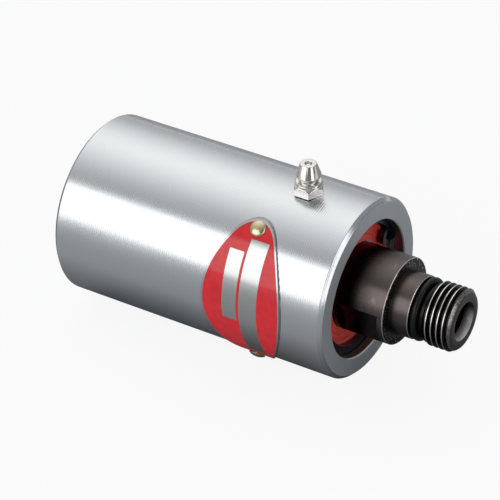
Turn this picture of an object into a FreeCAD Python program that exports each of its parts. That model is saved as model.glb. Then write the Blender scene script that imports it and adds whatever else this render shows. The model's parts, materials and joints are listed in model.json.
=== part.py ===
import FreeCAD, Part
import math
import os
import Sketcher

# Hydraulic rotary union: a fixed casing that feeds a hollow rotor through a sprung face seal.
# Origin at the rotor's shoulder, +X along the rotor to its nose, +Z up through the grease nipple.

# Driving sizes in millimetres, and in degrees where the name ends in angle
SIZES = {
    # casing, turned from bar
    "casing_wall": 5.5,
    "casing_edge": 1.0,
    "bore_edge": 0.3,
    "slide_fit": 0.01,
    "running_fit": 0.05,
    "contact_gap": 0.02,
    # inlet port, parallel pipe thread at its major diameter
    "port_diameter": 16.66,
    "port_depth": 12.0,
    "port_edge": 0.8,
    "passage_diameter": 15.0,
    "passage_length": 3.0,
    # weep hole under the drain chamber
    "weep_diameter": 4.0,
    "weep_setback": 3.0,
    # rotor ahead of the casing
    "collar_reach": 10.0,
    "collar_step": 2.5,
    "collar_edge": 0.3,
    "wrench_depth": 1.5,
    "wrench_step": 1.6,
    "wrench_length": 11.0,
    "wrench_angle": 111.0,
    "pilot_diameter": 16.0,
    "pilot_length": 5.0,
    "pilot_edge": 0.25,
    "ring_groove_length": 2.4,
    "ring_groove_depth": 1.8,
    "ring_cord": 1.75,
    "relief_length": 1.0,
    "relief_depth": 1.1,
    "thread_diameter": 16.0,
    "thread_length": 7.6,
    "thread_edge": 0.7,
    "nose_edge_length": 1.0,
    "nose_edge_depth": 1.0,
    "flow_bore": 8.6,
    "mouth_diameter": 9.7,
    "mouth_depth": 1.8,
    # rotor inside the casing
    "journal_diameter": 17.0,
    "journal_setback": 0.4,
    "shank_diameter": 15.0,
    "shank_edge": 0.4,
    # deep-groove ball bearings
    "bearing_outer": 35.0,
    "bearing_width": 10.0,
    "bearing_edge": 0.5,
    "ball_diameter": 4.762,
    "ball_count": 10,
    "raceway_relief": 0.07,
    "raceway_play": 0.01,
    "shoulder_gap": 1.5,
    "cage_thickness": 2.0,
    "cage_width": 6.2,
    "pocket_play": 0.08,
    "seal_land_depth": 1.5,
    "seal_land_step": 1.4,
    "seal_setback": 0.2,
    "seal_thickness": 0.8,
    "seal_rib": 0.35,
    # spacers between the bearings
    "spacer_width": 5.0,
    "outer_spacer_wall": 2.5,
    "inner_spacer_wall": 2.0,
    "gallery_width": 2.4,
    "gallery_depth": 0.9,
    "gallery_hole": 2.0,
    "gallery_hole_count": 4,
    # retaining ring in the casing
    "clip_setback": 2.4,
    "clip_groove_depth": 1.0,
    "clip_thickness": 1.5,
    "clip_side_play": 0.1,
    "clip_play": 0.1,
    "clip_band": 2.75,
    "clip_band_shift": 0.65,
    "clip_lug_diameter": 5.2,
    "clip_lug_inset": 2.1,
    "clip_lug_angle": 25.0,
    "clip_eye": 2.2,
    "clip_gap": 8.4,
    # retaining ring on the rotor
    "shaft_clip_groove_depth": 0.4,
    "shaft_clip_thickness": 1.0,
    "shaft_clip_side_play": 0.1,
    "shaft_clip_play": 0.05,
    "shaft_clip_band": 1.9,
    "shaft_clip_band_shift": 0.35,
    "shaft_clip_lug_diameter": 3.6,
    "shaft_clip_lug_rise": 1.7,
    "shaft_clip_lug_angle": 20.0,
    "shaft_clip_eye": 1.7,
    "shaft_clip_gap": 4.4,
    # lip seal behind the bearings
    "lip_seal_height": 5.5,
    "lip_seal_width": 6.0,
    "lip_seal_room": 3.0,
    "lip_seal_wall": 1.2,
    "lip_thickness": 0.9,
    "lip_edge_setback": 1.6,
    "garter_cord": 1.3,
    # drain chamber and face seal
    "chamber_length": 24.0,
    "drain_length": 5.5,
    "seat_wall": 1.5,
    "seat_length": 4.5,
    "seat_stand": 1.5,
    "face_gap": 0.02,
    "carbon_outer": 13.0,
    "carbon_length": 3.5,
    "carbon_stand": 2.0,
    "flange_gap": 1.0,
    "flange_thickness": 2.5,
    "spigot_diameter": 14.0,
    "seal_travel": 1.5,
    # gland that carries the spring, the pins and the two rings
    "gland_length": 6.0,
    "gland_groove_width": 2.0,
    "gland_groove_depth": 1.5,
    "gland_groove_setback": 0.9,
    "gland_rim": 0.7,
    "drive_pin_diameter": 2.0,
    "drive_pin_gap": 0.35,
    "drive_pin_floor": 0.9,
    "drive_pin_play": 0.2,
    "drive_pin_reach": 0.5,
    "spring_wire": 1.1,
    "spring_play": 0.85,
    "spring_turns": 3,
    # grease nipple
    "nipple_height": 8.0,
    "nipple_hex": 7.0,
    "nipple_hex_height": 2.0,
    "nipple_thread": 6.0,
    "nipple_foot_gap": 0.5,
    "nipple_collar": 6.7,
    "nipple_collar_height": 3.2,
    "nipple_neck": 4.9,
    "nipple_head": 6.2,
    "nipple_head_height": 4.8,
    "nipple_tip": 4.1,
    "nipple_edge": 0.3,
    "nipple_lip": 0.15,
    "nipple_ball_play": 0.15,
    "nipple_passage": 1.2,
    "nipple_ball": 2.0,
    "nipple_ball_depth": 0.3,
    "nipple_spring_length": 3.7,
    "nipple_spring_wire": 0.26,
    "nipple_spring_turns": 5,
    # nameplate and its drive screws
    "plate_setback": 22.1,
    "plate_angle": 87.0,
    "plate_width": 22.0,
    "plate_side_radius": 29.0,
    "plate_tip_radius": 7.2,
    "plate_thickness": 0.5,
    "screw_inset": 1.55,
    "screw_head": 4.2,
    "screw_head_height": 0.9,
    "screw_shank": 1.9,
    "screw_floor": 1.5,
}

doc = FreeCAD.newDocument("rotary_union")
sheet = doc.addObject("Spreadsheet::Sheet", "Sizes")
for row, (alias, number) in enumerate(SIZES.items(), start=1):
    sheet.set(f"A{row}", alias)
    sheet.set(f"B{row}", str(number))
    sheet.setAlias(f"B{row}", alias)
doc.recompute()


class Length:
    """A length that knows its value and the spreadsheet formula that gives it."""

    def __init__(self, formula, value):
        self.formula = formula
        self.value = value

    def __add__(self, other):
        other = as_length(other)
        return Length(f"({self.formula} + {other.formula})", self.value + other.value)

    def __sub__(self, other):
        other = as_length(other)
        return Length(f"({self.formula} - {other.formula})", self.value - other.value)

    def __mul__(self, factor):
        factor = as_length(factor)
        return Length(f"({self.formula} * {factor.formula})", self.value * factor.value)

    def __truediv__(self, divisor):
        divisor = as_length(divisor)
        return Length(f"({self.formula} / {divisor.formula})", self.value / divisor.value)

    def __neg__(self):
        return Length(f"(0 - {self.formula})", -self.value)


def as_length(item):
    if isinstance(item, Length):
        return item
    return Length(repr(float(item)), float(item))


def sine(angle):
    return Length(f"sin({angle.formula} * 1 deg)", math.sin(math.radians(angle.value)))


def cosine(angle):
    return Length(f"cos({angle.formula} * 1 deg)", math.cos(math.radians(angle.value)))


def arcsine(ratio):
    """The angle in degrees."""
    return Length(f"(asin({ratio.formula}) / 1 deg)", math.degrees(math.asin(ratio.value)))


def leg(slant, other):
    """The third side of a right-angled triangle."""
    across = slant * slant - other * other
    return Length(f"sqrt({across.formula})", math.sqrt(across.value))


class Sheet:
    """Gives each spreadsheet cell as a Length, by the name of its alias."""

    def __getattr__(self, alias):
        return Length(f"Sizes.{alias}", float(SIZES[alias]))


size = Sheet()
ZERO = Length("0.0", 0.0)


def radius(diameter):
    return diameter / 2


# Stations along the axis, from the casing's front face to its rear face
casing_face = -size.collar_reach
clip_front = casing_face - size.clip_setback
bearing_front = clip_front - size.clip_thickness - size.clip_side_play
spacer_front = bearing_front - size.bearing_width
spacer_rear = spacer_front - size.spacer_width
bearing_seat = spacer_rear - size.bearing_width
lip_seal_front = bearing_seat - size.lip_seal_room
seal_step = lip_seal_front - size.lip_seal_width
gland_seat = seal_step - size.chamber_length
port_bottom = gland_seat - size.passage_length
casing_rear = port_bottom - size.port_depth
rotor_tail = seal_step - size.drain_length
seat_face = rotor_tail - size.seat_stand
carbon_face = seat_face - size.face_gap
flange_front = carbon_face - size.carbon_stand
flange_rear = flange_front - size.flange_thickness
gland_front = gland_seat + size.gland_length
spigot_end = gland_seat + size.seal_travel
nipple_station = (spacer_front + spacer_rear) / 2
plate_station = casing_face - size.plate_setback
nose_face = size.pilot_length + size.ring_groove_length + size.relief_length + size.thread_length

# Radii that several pieces share
bearing_top = radius(size.bearing_outer)
casing_top = bearing_top + size.casing_wall
journal_top = radius(size.journal_diameter)
collar_top = journal_top + size.collar_step
shank_top = radius(size.shank_diameter)
seat_top = shank_top - size.seat_wall
lip_seal_top = shank_top + size.lip_seal_height
ball_place = (bearing_top + journal_top) / 2
spigot_top = radius(size.spigot_diameter)
spring_mean = spigot_top * 2 + size.spring_play * 2 + size.spring_wire
pin_place = (spring_mean + size.spring_wire + size.drive_pin_diameter) / 2 + size.drive_pin_gap
chamber_top = pin_place + size.drive_pin_diameter / 2 + size.gland_rim

# Half the angle between the plate's screws, which sit just inside its rounded tips
tip_centre = leg(size.plate_side_radius - size.plate_tip_radius, size.plate_side_radius - size.plate_width / 2)
screw_place = tip_centre + size.plate_tip_radius - size.screw_inset
screw_spread = arcsine(screw_place / (casing_top + size.plate_thickness))


def origin_feature(body, role):
    return next(item for item in body.Origin.OriginFeatures if item.Role == role)


def bind(item, path, length):
    item.setExpression(path, as_length(length).formula)


def new_body(label):
    body = doc.addObject("PartDesign::Body", label)
    body.Label = label
    body.AllowCompound = True
    return body


def attach(item, body, role, across=ZERO, up=ZERO, out=ZERO, turn_axis=None, turn=None):
    """Lies an object on one of its body's origin planes, shifted in that plane and out of it, and turned."""
    item.AttachmentSupport = (origin_feature(body, role), [""])
    item.MapMode = "FlatFace"
    turning = FreeCAD.Rotation()
    if turn is not None:
        turning = FreeCAD.Rotation(turn_axis, turn.value)
    item.AttachmentOffset = FreeCAD.Placement(FreeCAD.Vector(across.value, up.value, out.value), turning)
    for path, length in (("x", across), ("y", up), ("z", out)):
        if length is not ZERO:
            bind(item, "AttachmentOffset.Base." + path, length)
    if turn is not None:
        bind(item, "AttachmentOffset.Rotation.Angle", turn)


def new_sketch(body, label, role, **place):
    sketch = body.newObject("Sketcher::SketchObject", label)
    attach(sketch, body, role, **place)
    return sketch


def pin_point(sketch, geometry, position, across, up):
    """Holds a point of the sketch at its place from the sketch's origin."""
    for kind, axis, length in (("DistanceX", -2, across), ("DistanceY", -1, up)):
        if length is ZERO:
            sketch.addConstraint(Sketcher.Constraint("PointOnObject", geometry, position, axis))
            continue
        index = sketch.addConstraint(Sketcher.Constraint(kind, -1, 1, geometry, position, length.value))
        bind(sketch, f"Constraints[{index}]", length)


def draw_outline(sketch, points):
    """Draws a closed outline of lines and arcs. A point is (across, up), or (across, up, bend) where an arc
    leads on to the next point: bend is its radius, and its sign says whether it turns left or right."""
    ends = []
    for index, point in enumerate(points):
        following = points[(index + 1) % len(points)]
        start = FreeCAD.Vector(point[0].value, point[1].value, 0)
        finish = FreeCAD.Vector(following[0].value, following[1].value, 0)
        if len(point) == 2:
            sketch.addGeometry(Part.LineSegment(start, finish))
            ends.append((1, 2))
            continue
        bend, side = point[2]
        chord = finish - start
        leftward = FreeCAD.Vector(-chord.y, chord.x, 0).normalize()
        height = math.sqrt(max(bend.value ** 2 - (chord.Length / 2) ** 2, 0.0))
        middle = (start + finish) / 2 + leftward * (height * side)
        first = math.atan2(start.y - middle.y, start.x - middle.x)
        last = math.atan2(finish.y - middle.y, finish.x - middle.x)
        circle = Part.Circle(middle, FreeCAD.Vector(0, 0, 1), bend.value)
        if side > 0:
            sketch.addGeometry(Part.ArcOfCircle(circle, first, last))
            ends.append((1, 2))
        else:
            sketch.addGeometry(Part.ArcOfCircle(circle, last, first))
            ends.append((2, 1))
    for index, point in enumerate(points):
        following = (index + 1) % len(points)
        sketch.addConstraint(
            Sketcher.Constraint("Coincident", index, ends[index][1], following, ends[following][0]))
        pin_point(sketch, index, ends[index][0], point[0], point[1])
        if len(point) == 3:
            bend = point[2][0]
            place = sketch.addConstraint(Sketcher.Constraint("Radius", index, bend.value))
            bind(sketch, f"Constraints[{place}]", bend)


def draw_circle(sketch, across, up, circle_radius):
    index = sketch.addGeometry(
        Part.Circle(FreeCAD.Vector(across.value, up.value, 0), FreeCAD.Vector(0, 0, 1), circle_radius.value))
    pin_point(sketch, index, 3, across, up)
    place = sketch.addConstraint(Sketcher.Constraint("Radius", index, circle_radius.value))
    bind(sketch, f"Constraints[{place}]", circle_radius)


def draw_box(sketch, left, right, low, high):
    draw_outline(sketch, [(left, low), (right, low), (right, high), (left, high)])


def turn_about(body, sketch, kind, label, axis):
    feature = body.newObject(kind, label)
    feature.Profile = sketch
    feature.ReferenceAxis = (sketch, [axis])
    feature.Angle = 360.0
    body.Tip = feature
    return feature


def turned(body, label, points):
    """Turns an outline of (station, radius) points about the rotor's axis."""
    sketch = new_sketch(body, label + "_profile", "XZ_Plane")
    draw_outline(sketch, points)
    return turn_about(body, sketch, "PartDesign::Revolution", label, "H_Axis")


def turned_body(label, points):
    body = new_body(label)
    turned(body, label + "_turning", points)
    return body


def cut_raceway(body, label, station, groove_centre, groove_radius):
    sketch = new_sketch(body, label + "_profile", "XZ_Plane")
    draw_circle(sketch, station, groove_centre, groove_radius)
    return turn_about(body, sketch, "PartDesign::Groove", label, "H_Axis")


def extrude(body, sketch, kind, label, length):
    feature = body.newObject(kind, label)
    feature.Profile = sketch
    feature.Length = length.value
    bind(feature, "Length", length)
    body.Tip = feature
    return feature


def repeat_round_axis(body, feature, label, count, angle=None):
    """Repeats a feature about the rotor's axis: evenly, or once more at an angle."""
    pattern = body.newObject("PartDesign::PolarPattern", label)
    pattern.Originals = [feature]
    pattern.Axis = (origin_feature(body, "X_Axis"), [""])
    pattern.Angle = 360.0
    if angle is not None:
        pattern.Angle = angle.value
        bind(pattern, "Angle", angle)
    pattern.Occurrences = int(count.value)
    bind(pattern, "Occurrences", count)
    body.Tip = pattern
    return pattern


def radial_hole(body, label, station, surface, depth, diameter, angle=None):
    """Drills towards the axis from a surface at an angle from +Z towards -Y."""
    if angle is None:
        place = dict(out=surface)
    else:
        place = dict(up=-(surface * sine(angle)), out=surface * cosine(angle),
                     turn_axis=FreeCAD.Vector(1, 0, 0), turn=angle)
    sketch = new_sketch(body, label + "_circle", "XY_Plane", **place)
    draw_circle(sketch, station, ZERO, radius(diameter))
    return extrude(body, sketch, "PartDesign::Pocket", label, depth)


def ring_of_cord(label, station, centre_radius, cord):
    """An elastic ring of round cord about the rotor's axis."""
    body = new_body(label)
    ring = body.newObject("PartDesign::AdditiveTorus", label + "_cord")
    attach(ring, body, "YZ_Plane", out=station)
    bind(ring, "Radius1", centre_radius)
    bind(ring, "Radius2", cord / 2)
    body.Tip = ring
    return body


def make_casing():
    top = casing_top
    edge = size.casing_edge
    bore = bearing_top + size.slide_fit
    seal_bore = lip_seal_top + size.slide_fit
    chamber = chamber_top
    groove = bearing_top + size.clip_groove_depth
    port = radius(size.port_diameter)
    passage = radius(size.passage_diameter)
    body = turned_body("casing", [
        (casing_face, top - edge),
        (casing_face - edge, top),
        (casing_rear + edge, top),
        (casing_rear, top - edge),
        (casing_rear, port + size.port_edge),
        (casing_rear + size.port_edge, port),
        (port_bottom, port),
        (port_bottom, passage),
        (gland_seat, passage),
        (gland_seat, chamber),
        (seal_step, chamber),
        (seal_step, seal_bore),
        (bearing_seat, seal_bore),
        (bearing_seat, bore),
        (bearing_front, bore),
        (bearing_front, groove),
        (clip_front, groove),
        (clip_front, bore),
        (casing_face - size.bore_edge, bore),
        (casing_face, bore + size.bore_edge),
    ])
    nipple_hole = size.nipple_thread + size.slide_fit * 2
    radial_hole(body, "nipple_hole", nipple_station, top, top - bore + size.bore_edge, nipple_hole)
    weep_station = seal_step - size.weep_setback
    radial_hole(body, "weep_hole", weep_station, top, top, size.weep_diameter, Length("180.0", 180.0))
    screw_depth = size.casing_wall - size.screw_floor
    first = radial_hole(body, "screw_hole", plate_station, top, screw_depth,
                        size.screw_shank + size.slide_fit * 2, size.plate_angle - screw_spread)
    repeat_round_axis(body, first, "screw_holes", Length("2.0", 2.0), screw_spread * 2)


def make_rotor():
    pilot = radius(size.pilot_diameter)
    collar = collar_top
    groove = pilot - size.ring_groove_depth
    thread = radius(size.thread_diameter)
    relief = thread - size.relief_depth
    bore = radius(size.flow_bore)
    journal = journal_top
    shank = shank_top
    clip = journal - size.shaft_clip_groove_depth
    seat = seat_top + size.slide_fit
    groove_end = size.pilot_length + size.ring_groove_length
    thread_start = groove_end + size.relief_length
    clip_rear = bearing_seat - size.shaft_clip_thickness - size.shaft_clip_side_play
    journal_end = lip_seal_front + size.journal_setback
    seat_bottom = seat_face + size.seat_length
    body = turned_body("rotor", [
        (nose_face, radius(size.mouth_diameter)),
        (nose_face, thread - size.nose_edge_depth),
        (nose_face - size.nose_edge_length, thread),
        (thread_start + size.thread_edge, thread),
        (thread_start, thread - size.thread_edge),
        (thread_start, relief),
        (groove_end, relief),
        (groove_end, groove),
        (size.pilot_length, groove),
        (size.pilot_length, pilot - size.pilot_edge),
        (size.pilot_length - size.pilot_edge, pilot),
        (ZERO, pilot),
        (ZERO, collar - size.collar_edge),
        (-size.collar_edge, collar),
        (bearing_front, collar),
        (bearing_front, journal),
        (bearing_seat, journal),
        (bearing_seat, clip),
        (clip_rear, clip),
        (clip_rear, journal),
        (journal_end + size.shank_edge, journal),
        (journal_end, shank),
        (rotor_tail + size.shank_edge, shank),
        (rotor_tail, shank - size.shank_edge),
        (rotor_tail, seat),
        (seat_bottom, seat),
        (seat_bottom, bore),
        (nose_face - size.mouth_depth, bore),
    ])
    flat = new_sketch(body, "wrench_flat_outline", "YZ_Plane", out=-size.wrench_step,
                      turn_axis=FreeCAD.Vector(0, 0, 1), turn=size.wrench_angle)
    draw_box(flat, -(collar * 2), collar * 2, collar - size.wrench_depth, collar * 2)
    first = extrude(body, flat, "PartDesign::Pocket", "wrench_flat", size.wrench_length)
    repeat_round_axis(body, first, "wrench_flats", Length("2.0", 2.0))
    groove_middle = size.pilot_length + size.ring_groove_length / 2
    ring_centre = groove + size.contact_gap + size.ring_cord / 2
    ring_of_cord("rotor_o_ring", groove_middle, ring_centre, size.ring_cord)


def make_bearing(end, front, seal_in_front):
    """A deep-groove ball bearing with one contact seal, on the side away from the other bearing."""
    rear = front - size.bearing_width
    middle = (front + rear) / 2
    edge = size.bearing_edge
    pitch = ball_place
    ball = radius(size.ball_diameter)
    groove = ball + size.raceway_relief
    bore = journal_top + size.slide_fit
    inner_top = pitch - size.shoulder_gap
    outer_low = pitch + size.shoulder_gap
    outer_top = bearing_top
    land = outer_low + size.seal_land_step

    inner = turned_body(end + "_inner_ring", [
        (front, bore + edge),
        (front, inner_top),
        (rear, inner_top),
        (rear, bore + edge),
        (rear + edge, bore),
        (front - edge, bore),
    ])
    centre = pitch - ball - size.raceway_play + groove
    cut_raceway(inner, end + "_inner_raceway", middle, centre, groove)

    # the seal sits in a land at one end of the outer ring
    face, inward = (front, -1.0) if seal_in_front else (rear, 1.0)
    back = rear if seal_in_front else front
    outer = turned_body(end + "_outer_ring", [
        (face, outer_top - edge),
        (face + edge * inward, outer_top),
        (back - edge * inward, outer_top),
        (back, outer_top - edge),
        (back, outer_low),
        (face + size.seal_land_depth * inward, outer_low),
        (face + size.seal_land_depth * inward, land),
        (face, land),
    ])
    centre = pitch + ball + size.raceway_play - groove
    cut_raceway(outer, end + "_outer_raceway", middle, centre, groove)

    balls = new_body(end + "_balls")
    first = balls.newObject("PartDesign::AdditiveSphere", end + "_ball")
    attach(first, balls, "YZ_Plane", up=pitch, out=middle)
    bind(first, "Radius", ball)
    repeat_round_axis(balls, first, end + "_ball_set", size.ball_count)

    cage_top = pitch + size.cage_thickness / 2
    cage_low = pitch - size.cage_thickness / 2
    cage = turned_body(end + "_cage", [
        (middle + size.cage_width / 2, cage_low),
        (middle + size.cage_width / 2, cage_top),
        (middle - size.cage_width / 2, cage_top),
        (middle - size.cage_width / 2, cage_low),
    ])
    pocket = radial_hole(cage, end + "_pocket", middle, cage_top, cage_top,
                         size.ball_diameter + size.pocket_play * 2)
    repeat_round_axis(cage, pocket, end + "_pockets", size.ball_count)

    # rubber bonded to a plate: a bead in the land, a ribbed web and a lip on the inner ring
    seal_face = face + size.seal_setback * inward
    seal_back = seal_face + size.seal_thickness * inward
    bead = land - size.contact_gap
    lip = inner_top + size.contact_gap
    turned_body(end + "_bearing_seal", [
        (seal_face, bead),
        (seal_back, bead),
        (seal_back, lip + size.seal_rib),
        (seal_back - size.seal_rib * inward, lip),
        (seal_face + size.seal_rib * inward, lip),
        (seal_face, lip + size.seal_rib),
        (seal_face, lip + size.seal_rib * 3),
        (seal_face + size.seal_rib * inward, lip + size.seal_rib * 4),
        (seal_face + size.seal_rib * inward, bead - size.seal_rib * 3),
        (seal_face, bead - size.seal_rib * 2),
    ])


def make_spacers():
    top = bearing_top
    low = top - size.outer_spacer_wall
    gallery = top - size.gallery_depth
    outer = turned_body("outer_spacer", [
        (spacer_front, low),
        (spacer_front, top),
        (nipple_station + size.gallery_width / 2, top),
        (nipple_station + size.gallery_width / 2, gallery),
        (nipple_station - size.gallery_width / 2, gallery),
        (nipple_station - size.gallery_width / 2, top),
        (spacer_rear, top),
        (spacer_rear, low),
    ])
    hole = radial_hole(outer, "gallery_hole", nipple_station, top, top, size.gallery_hole)
    repeat_round_axis(outer, hole, "gallery_holes", size.gallery_hole_count)
    bore = journal_top + size.slide_fit
    sleeve = journal_top + size.inner_spacer_wall
    turned_body("inner_spacer", [
        (spacer_front, bore),
        (spacer_front, sleeve),
        (spacer_rear, sleeve),
        (spacer_rear, bore),
    ])


def make_retaining_ring(label, front, thickness, rim, band_centre, band_radius, lug, middle_angle):
    """A snap ring stamped from strip: a band that tapers to two eyed lugs beside its gap.
    rim is the radius at the groove and lug gives its place, diameter, angle, eye and gap."""
    body = new_body(label)
    place = dict(out=front, turn_axis=FreeCAD.Vector(0, 0, 1), turn=middle_angle)
    band = new_sketch(body, label + "_band_outline", "YZ_Plane", **place)
    draw_circle(band, ZERO, ZERO, rim)
    draw_circle(band, ZERO, band_centre, band_radius)
    pad = extrude(body, band, "PartDesign::Pad", label + "_band", thickness)
    pad.Reversed = True
    across = lug["place"] * sine(lug["angle"])
    up = lug["place"] * cosine(lug["angle"])
    lugs = new_sketch(body, label + "_lug_outline", "YZ_Plane", **place)
    eyes = new_sketch(body, label + "_eye_outline", "YZ_Plane", **place)
    for side in (across, -across):
        draw_circle(lugs, side, up, lug["diameter"] / 2)
        draw_circle(eyes, side, up, lug["eye"] / 2)
    pad = extrude(body, lugs, "PartDesign::Pad", label + "_lugs", thickness)
    pad.Reversed = True
    gap = new_sketch(body, label + "_gap_outline", "YZ_Plane", **place)
    draw_box(gap, -(lug["gap"] / 2), lug["gap"] / 2, ZERO, lug["place"] * 2)
    extrude(body, gap, "PartDesign::Pocket", label + "_gap", thickness)
    extrude(body, eyes, "PartDesign::Pocket", label + "_eyes", thickness)


def make_retaining_rings():
    rim = bearing_top + size.clip_groove_depth - size.clip_play
    make_retaining_ring(
        "casing_retaining_ring", bearing_front + size.clip_thickness, size.clip_thickness, rim,
        size.clip_band_shift, rim - size.clip_band,
        dict(place=bearing_top - size.clip_lug_inset, diameter=size.clip_lug_diameter,
             angle=size.clip_lug_angle, eye=size.clip_eye, gap=size.clip_gap),
        Length("-90.0", -90.0))
    rim = journal_top - size.shaft_clip_groove_depth + size.shaft_clip_play
    make_retaining_ring(
        "rotor_retaining_ring", bearing_seat, size.shaft_clip_thickness, rim,
        -size.shaft_clip_band_shift, rim + size.shaft_clip_band,
        dict(place=journal_top + size.shaft_clip_lug_rise, diameter=size.shaft_clip_lug_diameter,
             angle=size.shaft_clip_lug_angle, eye=size.shaft_clip_eye, gap=size.shaft_clip_gap),
        size.wrench_angle)


def make_lip_seal():
    """A rotary lip seal: an L-shaped case, and a lip that the garter spring closes on the shank."""
    top = lip_seal_top
    wall = size.lip_seal_wall
    front = lip_seal_front
    rear = seal_step
    contact = shank_top + size.contact_gap
    edge = rear + size.lip_edge_setback
    back = contact + size.lip_thickness * 2
    body = turned_body("lip_seal", [
        (front, top),
        (rear, top),
        (rear, top - wall),
        (front - wall, top - wall),
        (front - wall, back),
        (edge, back),
        (rear + size.lip_edge_setback / 4, back + size.lip_thickness / 3),
        (rear + size.lip_edge_setback / 4, contact + size.lip_thickness),
        (edge, contact),
        (front - wall, contact + size.lip_thickness),
        (front, contact + size.lip_thickness),
    ])
    cord = radius(size.garter_cord)
    garter_centre = back + cord / 2
    sketch = new_sketch(body, "garter_groove_profile", "XZ_Plane")
    draw_circle(sketch, edge, garter_centre, cord + size.contact_gap)
    turn_about(body, sketch, "PartDesign::Groove", "garter_groove", "H_Axis")
    ring_of_cord("garter_spring", edge, garter_centre, size.garter_cord)


def make_face_seal():
    bore = radius(size.flow_bore)
    seat = seat_top
    seat_bottom = seat_face + size.seat_length
    turned_body("seat_ring", [
        (seat_face, bore),
        (seat_face, seat - size.pilot_edge),
        (seat_face + size.pilot_edge, seat),
        (seat_bottom, seat),
        (seat_bottom, bore),
    ])
    carbon = radius(size.carbon_outer)
    carbon_back = carbon_face - size.carbon_length
    turned_body("carbon_ring", [
        (carbon_face, bore),
        (carbon_face, seat),
        (flange_front + size.carbon_stand / 2, carbon),
        (carbon_back, carbon),
        (carbon_back, bore),
    ])
    flange = chamber_top - size.flange_gap
    spigot = spigot_top
    carrier = turned_body("seal_carrier", [
        (flange_front, carbon + size.slide_fit),
        (flange_front, flange - size.collar_edge),
        (flange_front - size.collar_edge, flange),
        (flange_rear, flange),
        (flange_rear, spigot),
        (spigot_end + size.collar_edge, spigot),
        (spigot_end, spigot - size.collar_edge),
        (spigot_end, bore),
        (carbon_back, bore),
        (carbon_back, carbon + size.slide_fit),
    ])
    notch = new_sketch(carrier, "drive_notch_circle", "YZ_Plane", out=flange_front)
    draw_circle(notch, ZERO, pin_place, size.drive_pin_diameter / 2 + size.drive_pin_play)
    first = extrude(carrier, notch, "PartDesign::Pocket", "drive_notch", size.flange_thickness)
    repeat_round_axis(carrier, first, "drive_notches", Length("2.0", 2.0))


def make_gland():
    top = chamber_top - size.slide_fit
    low = spigot_top + size.running_fit
    depth = size.gland_groove_depth
    groove_rear = gland_seat + size.gland_groove_setback
    groove_front = groove_rear + size.gland_groove_width
    body = turned_body("spring_gland", [
        (gland_front, low),
        (gland_front, top),
        (groove_front, top),
        (groove_front, top - depth),
        (groove_rear, top - depth),
        (groove_rear, top),
        (gland_seat, top),
        (gland_seat, low),
        (groove_rear, low),
        (groove_rear, low + depth),
        (groove_front, low + depth),
        (groove_front, low),
    ])
    hole = new_sketch(body, "drive_pin_hole_circle", "YZ_Plane", out=gland_front)
    draw_circle(hole, ZERO, pin_place, size.drive_pin_diameter / 2)
    pin_rear = groove_front + size.drive_pin_floor
    first = extrude(body, hole, "PartDesign::Pocket", "drive_pin_hole", gland_front - pin_rear)
    repeat_round_axis(body, first, "drive_pin_holes", Length("2.0", 2.0))

    middle = (groove_rear + groove_front) / 2
    balance_room = low + depth - spigot_top
    gland_room = chamber_top - top + depth
    ring_of_cord("balance_o_ring", middle, spigot_top + balance_room / 2, balance_room - size.contact_gap * 2)
    ring_of_cord("gland_o_ring", middle, chamber_top - gland_room / 2, gland_room - size.contact_gap * 2)

    pins = new_body("drive_pins")
    first = pins.newObject("PartDesign::AdditiveCylinder", "drive_pin")
    attach(first, pins, "YZ_Plane", up=pin_place, out=pin_rear)
    bind(first, "Radius", size.drive_pin_diameter / 2)
    bind(first, "Height", flange_front + size.drive_pin_reach - pin_rear)
    repeat_round_axis(pins, first, "drive_pin_pair", Length("2.0", 2.0))


def make_coil_spring(label, wire, mean, room, turns, turning, base):
    """A compression spring in the room between its two seats, along its own Z. base is its lower seat."""
    rise = room - wire - size.contact_gap * 2
    helix = doc.addObject("Part::Helix", label + "_helix")
    bind(helix, "Pitch", rise / turns)
    bind(helix, "Height", rise)
    bind(helix, "Radius", mean / 2)
    section = doc.addObject("Part::Circle", label + "_section")
    bind(section, "Radius", wire / 2)
    section.Placement = FreeCAD.Placement(
        FreeCAD.Vector((mean / 2).value, 0, 0), FreeCAD.Rotation(FreeCAD.Vector(1, 0, 0), 90))
    bind(section, "Placement.Base.x", mean / 2)
    spring = doc.addObject("Part::Sweep", label)
    spring.Label = label
    spring.Sections = [section]
    spring.Spine = (helix, ["Edge1"])
    spring.Solid = True
    spring.Frenet = True
    spring.Placement = FreeCAD.Placement(FreeCAD.Vector(), turning)
    for path, length in base.items():
        bind(spring, "Placement.Base." + path, length)


def make_springs():
    start = gland_front + size.spring_wire / 2 + size.contact_gap
    make_coil_spring("seal_spring", size.spring_wire, spring_mean, flange_rear - gland_front,
                     size.spring_turns, FreeCAD.Rotation(FreeCAD.Vector(0, 1, 0), 90), {"x": start})
    ball_low = casing_top + size.nipple_height - size.nipple_ball_depth - size.nipple_ball
    start = ball_low - size.nipple_spring_length + size.nipple_spring_wire / 2 + size.contact_gap
    mean = size.nipple_ball + size.nipple_ball_play * 2 - size.nipple_spring_wire - size.running_fit * 4
    make_coil_spring("nipple_spring", size.nipple_spring_wire, mean, size.nipple_spring_length,
                     size.nipple_spring_turns, FreeCAD.Rotation(), {"x": nipple_station, "z": start})


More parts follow.
